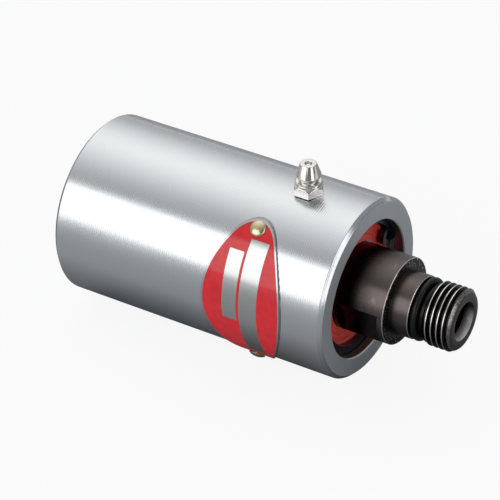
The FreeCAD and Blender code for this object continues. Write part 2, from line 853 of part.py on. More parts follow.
def make_nipple():
    """A straight grease nipple with a hexagon, a hook head and a sprung ball under its mouth."""
    foot = casing_top
    tip = foot + size.nipple_height
    thread = radius(size.nipple_thread)
    collar = radius(size.nipple_collar)
    neck = radius(size.nipple_neck)
    head = radius(size.nipple_head)
    edge = size.nipple_edge
    ball = radius(size.nipple_ball)
    mouth = ball - size.nipple_lip
    channel = ball + size.nipple_ball_play
    passage = radius(size.nipple_passage)
    ball_centre = tip - size.nipple_ball_depth - ball
    # the mouth's lower edge just clears the ball
    mouth_floor = ball_centre + leg(ball, mouth) + size.contact_gap
    spring_seat = ball_centre - ball - size.nipple_spring_length
    body = new_body("grease_nipple")
    hexagon = new_sketch(body, "nipple_hexagon", "XY_Plane", across=nipple_station, out=foot)
    corner = size.nipple_hex / Length("sqrt(3)", math.sqrt(3.0))
    corners = []
    for index in range(6):
        angle = Length(repr(60.0 * index), 60.0 * index)
        corners.append((corner * cosine(angle), ZERO if index in (0, 3) else corner * sine(angle)))
    draw_outline(hexagon, corners)
    extrude(body, hexagon, "PartDesign::Pad", "nipple_hex", size.nipple_hex_height)
    chamfer = new_sketch(body, "nipple_hex_chamfer_profile", "XZ_Plane", across=nipple_station)
    hex_top = foot + size.nipple_hex_height
    draw_outline(chamfer, [
        (radius(size.nipple_hex) - edge, hex_top),
        (corner + edge, hex_top - edge * 2),
        (corner + edge, hex_top + edge),
        (radius(size.nipple_hex) - edge, hex_top + edge),
    ])
    turn_about(body, chamfer, "PartDesign::Groove", "nipple_hex_chamfer", "V_Axis")
    stem = new_sketch(body, "nipple_profile", "XZ_Plane", across=nipple_station)
    bottom = bearing_top + size.nipple_foot_gap
    draw_outline(stem, [
        (passage, bottom),
        (thread - edge, bottom),
        (thread, bottom + edge),
        (thread, foot),
        (collar, foot),
        (collar, foot + size.nipple_collar_height - edge),
        (collar - edge, foot + size.nipple_collar_height),
        (neck, foot + size.nipple_collar_height),
        (neck, foot + size.nipple_head_height - (head - neck)),
        (head, foot + size.nipple_head_height),
        (radius(size.nipple_tip), tip - edge / 2),
        (radius(size.nipple_tip) - edge / 2, tip),
        (mouth, tip),
        (mouth, mouth_floor),
        (channel, mouth_floor),
        (channel, spring_seat),
        (passage, spring_seat),
    ])
    turn_about(body, stem, "PartDesign::Revolution", "nipple_stem", "V_Axis")

    check_ball = new_body("nipple_ball")
    sphere = check_ball.newObject("PartDesign::AdditiveSphere", "nipple_ball_sphere")
    attach(sphere, check_ball, "XY_Plane", across=nipple_station, out=ball_centre)
    bind(sphere, "Radius", ball)
    check_ball.Tip = sphere


def make_nameplate():
    """A thin plate rolled round the casing: a lens with rounded tips, held by two drive screws."""
    face = casing_top + size.plate_thickness
    bare = casing_top + size.slide_fit
    turning = FreeCAD.Rotation(FreeCAD.Vector(0, 1, 0), 90)
    cylinders = []
    for name, reach in (("plate_skin", face), ("plate_core", bare)):
        cylinder = doc.addObject("Part::Cylinder", name)
        cylinder.Placement = FreeCAD.Placement(FreeCAD.Vector(), turning)
        bind(cylinder, "Radius", reach)
        bind(cylinder, "Height", size.plate_width * 2)
        bind(cylinder, "Placement.Base.x", plate_station - size.plate_width)
        cylinders.append(cylinder)
    skin = doc.addObject("Part::Cut", "plate_tube")
    skin.Base, skin.Tool = cylinders
    # two round sides cross in two sharp tips, which are then rounded
    lens = new_body("plate_blank")
    outline = new_sketch(lens, "plate_outline", "XY_Plane", across=plate_station,
                         turn_axis=FreeCAD.Vector(1, 0, 0), turn=size.plate_angle)
    side = size.plate_side_radius
    tip = leg(side, side - size.plate_width / 2)
    draw_outline(outline, [(ZERO, -tip, (side, 1)), (ZERO, tip, (side, 1))])
    prism = extrude(lens, outline, "PartDesign::Pad", "plate_prism", face * 2)
    doc.recompute()
    rounding = lens.newObject("PartDesign::Fillet", "plate_tips")
    upright = [f"Edge{index}" for index, edge in enumerate(prism.Shape.Edges, start=1)
               if edge.Curve.TypeId == "Part::GeomLine"]
    rounding.Base = (prism, upright)
    rounding.Radius = size.plate_tip_radius.value
    bind(rounding, "Radius", size.plate_tip_radius)
    lens.Tip = rounding
    rolled = doc.addObject("Part::MultiCommon", "plate_sheet")
    rolled.Shapes = [skin, lens]
    drills = []
    first_angle = size.plate_angle - screw_spread
    last_angle = size.plate_angle + screw_spread
    for name, angle in (("first", first_angle), ("last", last_angle)):
        drill = doc.addObject("Part::Cylinder", f"plate_{name}_hole")
        drill.Placement = FreeCAD.Placement(
            FreeCAD.Vector(), FreeCAD.Rotation(FreeCAD.Vector(1, 0, 0), angle.value))
        bind(drill, "Placement.Rotation.Angle", angle)
        bind(drill, "Placement.Base.x", plate_station)
        bind(drill, "Radius", size.screw_shank / 2 + size.slide_fit)
        bind(drill, "Height", face * 2)
        drills.append(drill)
    holes = doc.addObject("Part::MultiFuse", "plate_holes")
    holes.Shapes = drills
    plate = doc.addObject("Part::Cut", "nameplate")
    plate.Label = "nameplate"
    plate.Base = rolled
    plate.Tool = holes

    screws = new_body("plate_screws")
    head = size.screw_head / 2
    shank = size.screw_shank / 2
    rise = size.screw_head_height
    dome = (head * head + rise * rise) / (rise * 2)
    profile = new_sketch(screws, "screw_profile", "YZ_Plane", out=plate_station,
                         turn_axis=FreeCAD.Vector(0, 0, 1), turn=first_angle)
    foot = face + size.contact_gap
    bottom = bearing_top + size.screw_floor + size.contact_gap
    draw_outline(profile, [
        (ZERO, bottom),
        (shank, bottom),
        (shank, foot),
        (head, foot, (dome, 1)),
        (ZERO, foot + rise),
    ])
    first = turn_about(screws, profile, "PartDesign::Revolution", "screw", "V_Axis")
    repeat_round_axis(screws, first, "screw_pair", Length("2.0", 2.0), screw_spread * 2)


make_casing()
make_rotor()
make_bearing("front", bearing_front, True)
make_bearing("rear", spacer_rear, False)
make_spacers()
make_retaining_rings()
make_lip_seal()
make_face_seal()
make_gland()
make_springs()
make_nipple()
make_nameplate()
doc.recompute()

PIECES = [
    "casing", "nameplate", "plate_screws", "grease_nipple", "nipple_ball", "nipple_spring",
    "casing_retaining_ring", "front_outer_ring", "front_inner_ring", "front_cage", "front_balls",
    "front_bearing_seal", "outer_spacer", "inner_spacer", "rear_outer_ring", "rear_inner_ring", "rear_cage",
    "rear_balls", "rear_bearing_seal", "rotor_retaining_ring", "rotor", "rotor_o_ring", "lip_seal",
    "garter_spring", "seat_ring", "carbon_ring", "seal_carrier", "seal_spring", "spring_gland",
    "balance_o_ring", "gland_o_ring", "drive_pins",
]

for item in doc.Objects:
    if "Invalid" in item.State or "Error" in item.State:
        raise RuntimeError(f"{item.Label} did not build: {item.State}")
    if item.TypeId in ("PartDesign::Pocket", "PartDesign::Groove"):
        if item.Shape.Volume > item.BaseFeature.Shape.Volume - 1e-4:
            raise RuntimeError(f"{item.Label} cuts nothing")

os.makedirs("parts", exist_ok=True)
for label in PIECES:
    piece = doc.getObjectsByLabel(label)[0]
    shape = piece.Shape
    if shape.isNull() or not shape.isValid():
        raise RuntimeError(f"{label} is not a sound solid")
    shape.exportStep(f"parts/{label}.step")
    print(f"{label}: {len(shape.Solids)} solids, {shape.Volume:.1f} mm3")
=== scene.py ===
import json
import math

import bpy
from mathutils import Matrix, Vector


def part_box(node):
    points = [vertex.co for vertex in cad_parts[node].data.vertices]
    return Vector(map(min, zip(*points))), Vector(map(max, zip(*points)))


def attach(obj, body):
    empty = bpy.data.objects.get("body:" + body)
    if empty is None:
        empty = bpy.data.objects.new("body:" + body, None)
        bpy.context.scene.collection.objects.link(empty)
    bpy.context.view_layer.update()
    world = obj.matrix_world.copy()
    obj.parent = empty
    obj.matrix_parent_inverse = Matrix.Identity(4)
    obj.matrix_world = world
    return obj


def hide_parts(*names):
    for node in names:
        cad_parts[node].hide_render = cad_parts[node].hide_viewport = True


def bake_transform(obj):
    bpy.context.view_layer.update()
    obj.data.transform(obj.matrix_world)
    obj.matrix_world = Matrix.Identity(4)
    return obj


# A hydraulic rotary union. Its rotor turns about X, with its nose towards +X and its shoulder at the
# origin, and the grease nipple stands towards +Z.
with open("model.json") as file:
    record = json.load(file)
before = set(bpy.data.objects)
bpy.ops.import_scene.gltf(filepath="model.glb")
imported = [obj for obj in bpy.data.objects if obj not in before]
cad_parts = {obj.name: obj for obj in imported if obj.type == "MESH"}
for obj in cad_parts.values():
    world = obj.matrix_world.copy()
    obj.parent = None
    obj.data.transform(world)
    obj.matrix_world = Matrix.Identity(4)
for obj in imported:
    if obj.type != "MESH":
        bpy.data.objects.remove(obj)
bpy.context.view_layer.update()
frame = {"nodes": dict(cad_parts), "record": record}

# One millimetre, in Blender's metres. Unless a comment says otherwise, sizes are in millimetres and
# angles in degrees.
MM = 0.001


# What the solids give, to a hundredth of a millimetre

def stations(node):
    """A node's rear and front end along the rotor's axis, measured from the rotor's shoulder."""
    low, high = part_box(node)
    return round(low.x / MM, 2), round(high.x / MM, 2)


def heights(node):
    """A node's lowest and highest point above the rotor's axis."""
    low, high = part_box(node)
    return round(low.z / MM, 2), round(high.z / MM, 2)


def outer_radius(node):
    """How far a node reaches from the rotor's axis, sideways or up."""
    low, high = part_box(node)
    return round(max(abs(low.y), abs(low.z), abs(high.y), abs(high.z)) / MM, 2)


CASING_REAR, CASING_FACE = stations("casing")
CASING_RADIUS = outer_radius("casing")
RING_REAR, RING_FRONT = stations("casing_retaining_ring")
RING_RADIUS = outer_radius("casing_retaining_ring")
BEARING_FRONT = stations("front_outer_ring")[1]
BEARING_REAR = stations("rear_outer_ring")[0]
BEARING_RADIUS = outer_radius("front_outer_ring")
LIP_SEAL_REAR = stations("lip_seal")[0]
LIP_SEAL_RADIUS = outer_radius("lip_seal")
GLAND_REAR = stations("spring_gland")[0]
GLAND_RADIUS = outer_radius("spring_gland")
ROTOR_TAIL, ROTOR_NOSE = stations("rotor")
COLLAR_RADIUS = outer_radius("rotor")
CLIP_REAR, CLIP_FRONT = stations("rotor_retaining_ring")
SEAT_FRONT = stations("seat_ring")[1]
SEAT_RADIUS = outer_radius("seat_ring")
O_RING_STATION = sum(stations("rotor_o_ring")) / 2
O_RING_RADIUS = outer_radius("rotor_o_ring")
SEAL_REAR, SEAL_FACE = stations("front_bearing_seal")
SEAL_RADIUS = outer_radius("front_bearing_seal")
NIPPLE_STATION = sum(stations("grease_nipple")) / 2
NIPPLE_TOP = heights("grease_nipple")[1]
PLATE_STATION = sum(stations("nameplate")) / 2
PLATE_FACE = outer_radius("nameplate")

# What the boxes of the solids don't give. FIT is the room round what is pressed or slid in, and
# RING_PLAY the room beside and round a retaining ring.
FIT = 0.01
RING_PLAY = 0.1
BORE_RADIUS = BEARING_RADIUS + FIT
BORE_CHAMFER = 0.3
# The nameplate is drawn flat as four arcs round its middle. Angles round the casing go from its top
# towards the plate.
PLATE_ANGLE = 87.0
PLATE_WIDTH = 22.0
PLATE_SIDE_RADIUS = 29.0
PLATE_SIDE_CENTRE = PLATE_SIDE_RADIUS - PLATE_WIDTH / 2
PLATE_TIP_RADIUS = 7.2
PLATE_TIP_CENTRE = 12.3
SCREW_SPREAD = 49.8
SCREW_ANGLES = (PLATE_ANGLE - SCREW_SPREAD, PLATE_ANGLE + SCREW_SPREAD)
# The rotor's collar has two wrench flats, and the nose a metric thread, M16x1.5
FLAT_ANGLE = 111.0
FLAT_REACH = 9.5
COLLAR_CHAMFER = 0.3
PILOT_RADIUS = 8.0
PILOT_END = 5.0
THREAD_RADIUS = 8.0
THREAD_PITCH = 1.5
NOSE_CHAMFER = 1.0
THREAD_END = ROTOR_NOSE - NOSE_CHAMFER
MOUTH_START = 13.7
# The port's pipe thread, G3/8
PORT_RADIUS = 8.33
PORT_PITCH = 1.337
PORT_THREAD_DEPTH = 0.856

# Points of a mesh that are nearer than this, in metres, become one
WELD = 0.002 * MM
# Steps in one turn of a thread
THREAD_STEPS = 96


# Helpers for modelling

def deselect():
    bpy.ops.object.select_all(action="DESELECT")


def only(piece):
    deselect()
    piece.select_set(True)
    bpy.context.view_layer.objects.active = piece


def settle(piece):
    """Puts the object's place into its mesh."""
    only(piece)
    bpy.ops.object.transform_apply(location=True, rotation=True, scale=True)


def newest(name):
    """Names the piece that an operator has just made, and settles it."""
    piece = bpy.context.object
    piece.name = name
    settle(piece)
    return piece


def apply_modifier(piece, kind, **settings):
    only(piece)
    modifier = piece.modifiers.new(kind.lower(), kind)
    for name, value in settings.items():
        setattr(modifier, name, value)
    bpy.ops.object.modifier_apply(modifier=modifier.name)


def turn_piece(name, profile, sides=192, capped=False):
    """Draws a turned piece about Z, ring by ring, from (height, radius) points of its outline."""
    deselect()
    height, ring = profile[0]
    bpy.ops.mesh.primitive_circle_add(vertices=sides, radius=ring * MM,
                                      location=(0, 0, height * MM))
    piece = newest(name)
    bpy.ops.object.mode_set(mode="EDIT")
    bpy.ops.mesh.select_all(action="SELECT")
    if capped:
        bpy.ops.mesh.edge_face_add()
        bpy.ops.mesh.select_all(action="SELECT")
    rest = profile[1:] if capped else profile[1:] + profile[:1]
    for next_height, next_ring in rest:
        bpy.ops.mesh.extrude_region_move(
            TRANSFORM_OT_translate={"value": (0, 0, (next_height - height) * MM)})
        grow = next_ring / ring
        bpy.ops.transform.resize(value=(grow, grow, 1), center_override=(0, 0, 0))
        height, ring = next_height, next_ring
    bpy.ops.mesh.select_all(action="SELECT")
    bpy.ops.mesh.remove_doubles(threshold=WELD)
    bpy.ops.mesh.normals_make_consistent(inside=False)
    bpy.ops.object.mode_set(mode="OBJECT")
    return piece


def close_ends():
    """Fills the two open ends of a wound section, in edit mode."""
    bpy.ops.mesh.select_all(action="DESELECT")
    bpy.ops.mesh.select_mode(type="EDGE")
    bpy.ops.mesh.select_non_manifold(extend=False, use_boundary=True)
    bpy.ops.mesh.edge_face_add()
    bpy.ops.mesh.select_all(action="SELECT")
    bpy.ops.mesh.normals_make_consistent(inside=False)


def thread_cutter(name, section, pitch, start, turns):
    """Winds the section of a thread's groove, (along, radius) points, along the rotor's axis."""
    deselect()
    bpy.ops.mesh.primitive_circle_add(vertices=len(section), radius=MM, location=(0, 0, 0))
    piece = bpy.context.object
    piece.name = name
    for vertex, (along, radius) in zip(piece.data.vertices, section):
        vertex.co = ((start + along) * MM, 0, radius * MM)
    steps = THREAD_STEPS * turns
    apply_modifier(piece, "SCREW", axis="X", screw_offset=pitch * turns * MM,
                   angle=math.radians(360 * turns), steps=steps, render_steps=steps,
                   use_merge_vertices=False)
    bpy.ops.object.mode_set(mode="EDIT")
    close_ends()
    bpy.ops.mesh.select_mode(type="VERT")
    bpy.ops.object.mode_set(mode="OBJECT")
    return piece


def cylinder(radius, depth, place, turn=(0, 0, 0), sides=64):
    deselect()
    bpy.ops.mesh.primitive_cylinder_add(vertices=sides, radius=radius * MM, depth=depth * MM,
                                        location=Vector(place) * MM, rotation=turn)
    return newest("cylinder_tool")


def block(size, place, turn=(0, 0, 0)):
    deselect()
    bpy.ops.mesh.primitive_cube_add(size=MM, location=Vector(place) * MM, rotation=turn)
    bpy.context.object.scale = size
    return newest("block_tool")


def ball(name, radius, place):
    deselect()
    bpy.ops.mesh.primitive_uv_sphere_add(segments=64, ring_count=32, radius=radius * MM,
                                         location=Vector(place) * MM)
    return newest(name)


def move(piece, place, turn=(0, 0, 0)):
    piece.rotation_euler = turn
    piece.location = Vector(place) * MM
    settle(piece)


def lay_along_rotor(piece):
    """Turns a piece that was drawn about Z onto the rotor's axis."""
    move(piece, (0, 0, 0), (0, math.radians(90), 0))


def out_from_axis(station, radius, angle):
    """The place at a radius and an angle round the casing."""
    tilt = math.radians(angle)
    return station, -radius * math.sin(tilt), radius * math.cos(tilt)


def cut(piece, tool, operation="DIFFERENCE"):
    apply_modifier(piece, "BOOLEAN", object=tool, operation=operation, solver="EXACT")
    bpy.data.objects.remove(tool)


def soften(piece, width, angle=28):
    """Breaks the sharp edges as a tumbled or filed edge is."""
    apply_modifier(piece, "BEVEL", width=width * MM, segments=2, limit_method="ANGLE",
                   angle_limit=math.radians(angle))


def smooth(piece, angle=30, weighted=True):
    """Shades a piece smooth, apart from edges sharper than the angle."""
    only(piece)
    bpy.ops.object.shade_smooth_by_angle(angle=math.radians(angle))
    if weighted:
        apply_modifier(piece, "WEIGHTED_NORMAL", keep_sharp=True, weight=60)


# Helpers for materials

def colour(code, factor=1.0):
    """Linear colour from an sRGB hex value, made lighter or darker by the factor."""
    parts = [int(code[i:i + 2], 16) / 255 for i in (1, 3, 5)]
    linear = [p / 12.92 if p <= 0.04045 else ((p + 0.055) / 1.055) ** 2.4 for p in parts]
    return (*(p * factor for p in linear), 1.0)


def grey(level):
    return (level, level, level, 1.0)


def add_node(material, kind, settings=None, **links):
    """Adds a shader node, sets its properties, and links or fills its inputs. An input is named, with _
    for a space, or numbered as i0, i1 and so on."""
    tree = material.node_tree
    node = tree.nodes.new(kind)
    for name, value in (settings or {}).items():
        setattr(node, name, value)
    for name, value in links.items():
        key = int(name[1:]) if name[0] == "i" and name[1:].isdigit() else name.replace("_", " ")
        socket = node.inputs[key]
        if isinstance(value, bpy.types.NodeSocket):
            tree.links.new(value, socket)
        else:
            socket.default_value = value
    return node


def new_material(name, **surface):
    material = bpy.data.materials.new(name)
    material.use_nodes = True
    shader = material.node_tree.nodes["Principled BSDF"]
    for key, value in surface.items():
        shader.inputs[key.replace("_", " ")].default_value = value
    return material, shader


def link(material, output, socket):
    material.node_tree.links.new(output, socket)


def calculate(material, operation, *values):
    """One step of arithmetic between sockets and numbers."""
    links = {f"i{index}": value for index, value in enumerate(values)}
    return add_node(material, "ShaderNodeMath", {"operation": operation}, **links).outputs[0]


def product(material, first, *others):
    for other in others:
        first = calculate(material, "MULTIPLY", first, other)
    return first


def largest(material, first, *others):
    for other in others:
        first = calculate(material, "MAXIMUM", first, other)
    return first


def rise(material, value, low, high, start=0.0, end=1.0):
    """Goes from start to end while the value goes from low to high."""
    return add_node(material, "ShaderNodeMapRange", Value=value, i1=low, i2=high, i3=start,
                    i4=end).outputs[0]


def between(material, value, low, high, blur=0.04):
    """1 where the value lies between low and high, with slightly soft ends."""
    return product(material, rise(material, value, low - blur, low + blur),
                   rise(material, value, high + blur, high - blur))


def mix(material, share, first, second):
    """The first colour, turning into the second as the share goes from 0 to 1."""
    return add_node(material, "ShaderNodeMix", {"data_type": "RGBA"}, i0=share, i6=first,
                    i7=second).outputs[2]


def ramp(material, value, *stops):
    node = add_node(material, "ShaderNodeValToRGB", Fac=value)
    elements = node.color_ramp.elements
    elements[0].position, elements[0].color = stops[0]
    elements[1].position, elements[1].color = stops[-1]
    for position, shade in stops[1:-1]:
        elements.new(position).color = shade
    return node.outputs["Color"]


def noise(material, place, scale, detail, roughness=0.5):
    return add_node(material, "ShaderNodeTexNoise", Vector=place, Scale=scale, Detail=detail,
                    Roughness=roughness).outputs["Fac"]


def stretch(material, place, scale):
    """Draws a pattern out: it grows longer along an axis whose scale is below 1."""
    return add_node(material, "ShaderNodeMapping", Vector=place, Scale=scale).outputs[0]


def add_bump(material, shader, height, depth, strength):
    bump = add_node(material, "ShaderNodeBump", Strength=strength, Distance=depth * MM,
                    Height=height)
    link(material, bump.outputs[0], shader.inputs["Normal"])


def object_place(material):
    return add_node(material, "ShaderNodeTexCoord").outputs["Object"]


def split(material, vector):
    return add_node(material, "ShaderNodeSeparateXYZ", Vector=vector).outputs


def dot(material, vector, direction):
    return add_node(material, "ShaderNodeVectorMath", {"operation": "DOT_PRODUCT"}, i0=vector,
                    i1=Vector(direction)).outputs["Value"]


def across_rotor(material, place):
    """The place across the rotor's axis, and its distance from that axis, in millimetres."""
    across = add_node(material, "ShaderNodeVectorMath", {"operation": "MULTIPLY"}, i0=place,
                      i1=Vector((0, 1 / MM, 1 / MM))).outputs[0]
    radius = add_node(material, "ShaderNodeVectorMath", {"operation": "LENGTH"}, i0=across)
    return across, radius.outputs["Value"]


# Metals

def turned_metal(name, shade, roughness, feed, tooth, scuff=0.0, tone=0.0):
    """Metal from a lathe: feed is the spacing of the tool's rings, tooth is their height, scuff is how
    much rougher its worst places are, and tone is how much darker the rings' valleys look."""
    material, shader = new_material(name, Base_Color=colour(shade), Metallic=1.0,
                                    Roughness=roughness)
    place = object_place(material)
    rings = add_node(material, "ShaderNodeTexWave",
                     {"wave_type": "BANDS", "bands_direction": "X", "wave_profile": "SIN"},
                     Vector=place, Scale=math.pi / 10 / (feed * MM),
                     Distortion=0.0).outputs["Fac"]
    chatter = noise(material, stretch(material, place, (1.0, 0.05, 0.05)), 2200.0, 3.0, 0.6)
    height = calculate(material, "ADD", rings, product(material, chatter, 1.2))
    add_bump(material, shader, height, tooth, 1.0)
    smudge = noise(material, place, 60.0, 4.0)
    link(material, rise(material, smudge, 0.0, 1.0, roughness - 0.04, roughness + 0.05 + scuff),
         shader.inputs["Roughness"])
    if tone:
        link(material, ramp(material, rings, (0.1, colour(shade, 1 - tone)),
                            (0.9, colour(shade, 1 + tone))), shader.inputs["Base Color"])
    return material, shader


def make_turned_aluminium():
    """Bare aluminium turned from bar: satin silver, with rings from the tool that are coarser than the
    real ones, so that they show. Its end faces are cut matt, and its bore is darker and duller."""
    material, shader = turned_metal("turned_aluminium", "#D3D6D9", 0.22, 0.6, 0.010, tone=0.03)
    plain = shader.inputs["Base Color"].links[0].from_socket
    rough = shader.inputs["Roughness"].links[0].from_socket
    normal = add_node(material, "ShaderNodeNewGeometry").outputs["Normal"]
    facing_ends = calculate(material, "ABSOLUTE", split(material, normal)["X"])
    face = rise(material, facing_ends, 0.94, 0.97)
    place = object_place(material)
    radius = across_rotor(material, place)[1]
    # the chamfer round the bore's mouth stays bright
    behind_chamfer = calculate(material, "LESS_THAN", split(material, place)["X"],
                               (CASING_FACE - BORE_CHAMFER - 0.05) * MM)
    bore = product(material, rise(material, radius, RING_RADIUS + 0.2, BORE_RADIUS + 0.19),
                   calculate(material, "SUBTRACT", 1.0, face), behind_chamfer)
    added = calculate(material, "ADD", product(material, face, 0.44), product(material, bore, 0.2))
    link(material, calculate(material, "ADD", rough, added), shader.inputs["Roughness"])
    link(material, mix(material, bore, plain, colour("#8C8884")), shader.inputs["Base Color"])
    return material


def make_black_oxide():
    """Rotor steel, turned, blackened in hot salts and oiled: dark brown-grey with a soft sheen. It is
    rubbed bright in places, with painted highlights on its edges and painted light on the lower side of
    its seat, and painted nearly black as shade in its grooves, on its flats and faces, inside the
    casing's bore and on the upper side of its seat."""
    oxide_colour = "#615956"
    material, shader = turned_metal("black_oxide_steel", oxide_colour, 0.24, 0.3, 0.006, scuff=0.05)
    place = object_place(material)
    sides = split(material, place)
    along = calculate(material, "DIVIDE", sides["X"], MM)
    upwards = calculate(material, "DIVIDE", sides["Z"], MM)
    across, radius = across_rotor(material, place)
    specks = noise(material, place, 1900.0, 2.0)
    rubs = noise(material, stretch(material, place, (1.0, 0.35, 0.35)), 420.0, 6.0, 0.7)

    # rubbed bright in patches, and painted as highlights: the thread's crests and the corners of collar
    # and pilot
    crests = product(material, between(material, along, 9.0, THREAD_END + 0.05),
                     rise(material, radius, THREAD_RADIUS - 0.07, THREAD_RADIUS - 0.015))
    collar_corner = product(material, between(material, along, -COLLAR_CHAMFER, -0.1),
                            rise(material, radius, COLLAR_RADIUS - 0.18, COLLAR_RADIUS - 0.1))
    pilot_corner = product(material, between(material, along, PILOT_END - 0.2, PILOT_END - 0.05),
                           rise(material, radius, PILOT_RADIUS - 0.2, PILOT_RADIUS - 0.12))
    wear_and_painted_edge_highlights = product(material, largest(material, crests, collar_corner, pilot_corner),
                     rise(material, rubs, 0.22, 0.42))
    # chafed a little: the collar's face, the collar itself, and the nose's chamfer, which every fitting
    # slides over; on the chamfer these marks also paint a highlight
    face_specks = product(material, between(material, along, -COLLAR_CHAMFER, 0.1),
                          rise(material, radius, 8.3, 9.0), rise(material, specks, 0.60, 0.66), 0.8)
    collar_rubs = product(material, between(material, along, -9.0, -0.4),
                          rise(material, rubs, 0.6, 0.75), 0.22)
    nose_wear_and_painted_highlight = product(material, between(material, along, THREAD_END + 0.05, ROTOR_NOSE - 0.1),
                        rise(material, radius, 6.95, 7.1), rise(material, specks, 0.3, 0.62), 0.42)
    # the seat turned into the nose's mouth: painted light on its lower side, and painted shade on its
    # upper side
    mouth = product(material, rise(material, along, MOUTH_START - 0.05, MOUTH_START),
                    rise(material, radius, 4.95, 4.86))
    seat = product(material, mouth, rise(material, upwards, 1.4, -3.6))
    wear_and_painted_light = largest(material, wear_and_painted_edge_highlights, face_specks, collar_rubs, nose_wear_and_painted_highlight,
                   product(material, seat, 0.85))

    # painted shade, nearly black: the thread's roots and its run-out with the neck, the wrench flats,
    # the collar's face, the part of the collar inside the bore where the casing shades it, and the
    # upper side of the seat
    tilt = math.radians(FLAT_ANGLE)
    towards_flat = calculate(material, "ABSOLUTE", dot(
        material, across, (0, -math.sin(tilt), math.cos(tilt))))
    flats = product(material, between(material, along, -12.6, -1.65),
                    rise(material, towards_flat, FLAT_REACH - 0.08, FLAT_REACH - 0.02))
    roots = product(material, between(material, along, 8.42, THREAD_END),
                    rise(material, radius, THREAD_RADIUS - 0.04, THREAD_RADIUS - 0.15))
    neck = between(material, along, 7.3, 9.15)
    face = product(material, between(material, along, -0.06, 0.06),
                   rise(material, radius, PILOT_RADIUS, PILOT_RADIUS + 0.1))
    inside_bore = rise(material, along, -7.0, -9.5)
    seat_painted_shade = calculate(material, "SUBTRACT", mouth, seat)
    painted_shade = largest(material, roots, neck, inside_bore, flats, face, seat_painted_shade)

    # the painted shade's near-black colour over the oxide's own
    oxide_and_painted_shade = mix(material, painted_shade, colour(oxide_colour), colour("#2E2A29"))
    # real wear mixed with painted highlights and painted light, in near white
    link(material, mix(material, wear_and_painted_light, oxide_and_painted_shade, colour("#E9E5E2")), shader.inputs["Base Color"])
    rough = shader.inputs["Roughness"].links[0].from_socket
    link(material, calculate(material, "ADD", rough, product(material, seat, 0.22)),
         shader.inputs["Roughness"])
    return material


def smooth_metal(name, shade, roughness, grain=900.0, depth=0.002):
    """Plated, drawn or cast metal with a slight orange peel."""
    material, shader = new_material(name, Base_Color=colour(shade), Metallic=1.0,
                                    Roughness=roughness)
    peel = noise(material, object_place(material), grain, 2.0)
    add_bump(material, shader, peel, depth, 0.6)
    link(material, rise(material, peel, 0.0, 1.0, roughness * 0.8, roughness * 1.3),
         shader.inputs["Roughness"])
    return material


# Rubber, plastic and enamel

def moulded(name, shade, roughness, grain, depth, specular=0.5):
    """Moulded rubber or plastic with a fine matt skin."""
    material, shader = new_material(name, Base_Color=colour(shade), Roughness=roughness,
                                    Specular_IOR_Level=specular)
    skin = noise(material, object_place(material), grain, 5.0, 0.65)
    add_bump(material, shader, skin, depth, 0.7)
    link(material, ramp(material, skin, (0.35, colour(shade, 0.75)), (0.65, colour(shade))),
         shader.inputs["Base Color"])
    return material


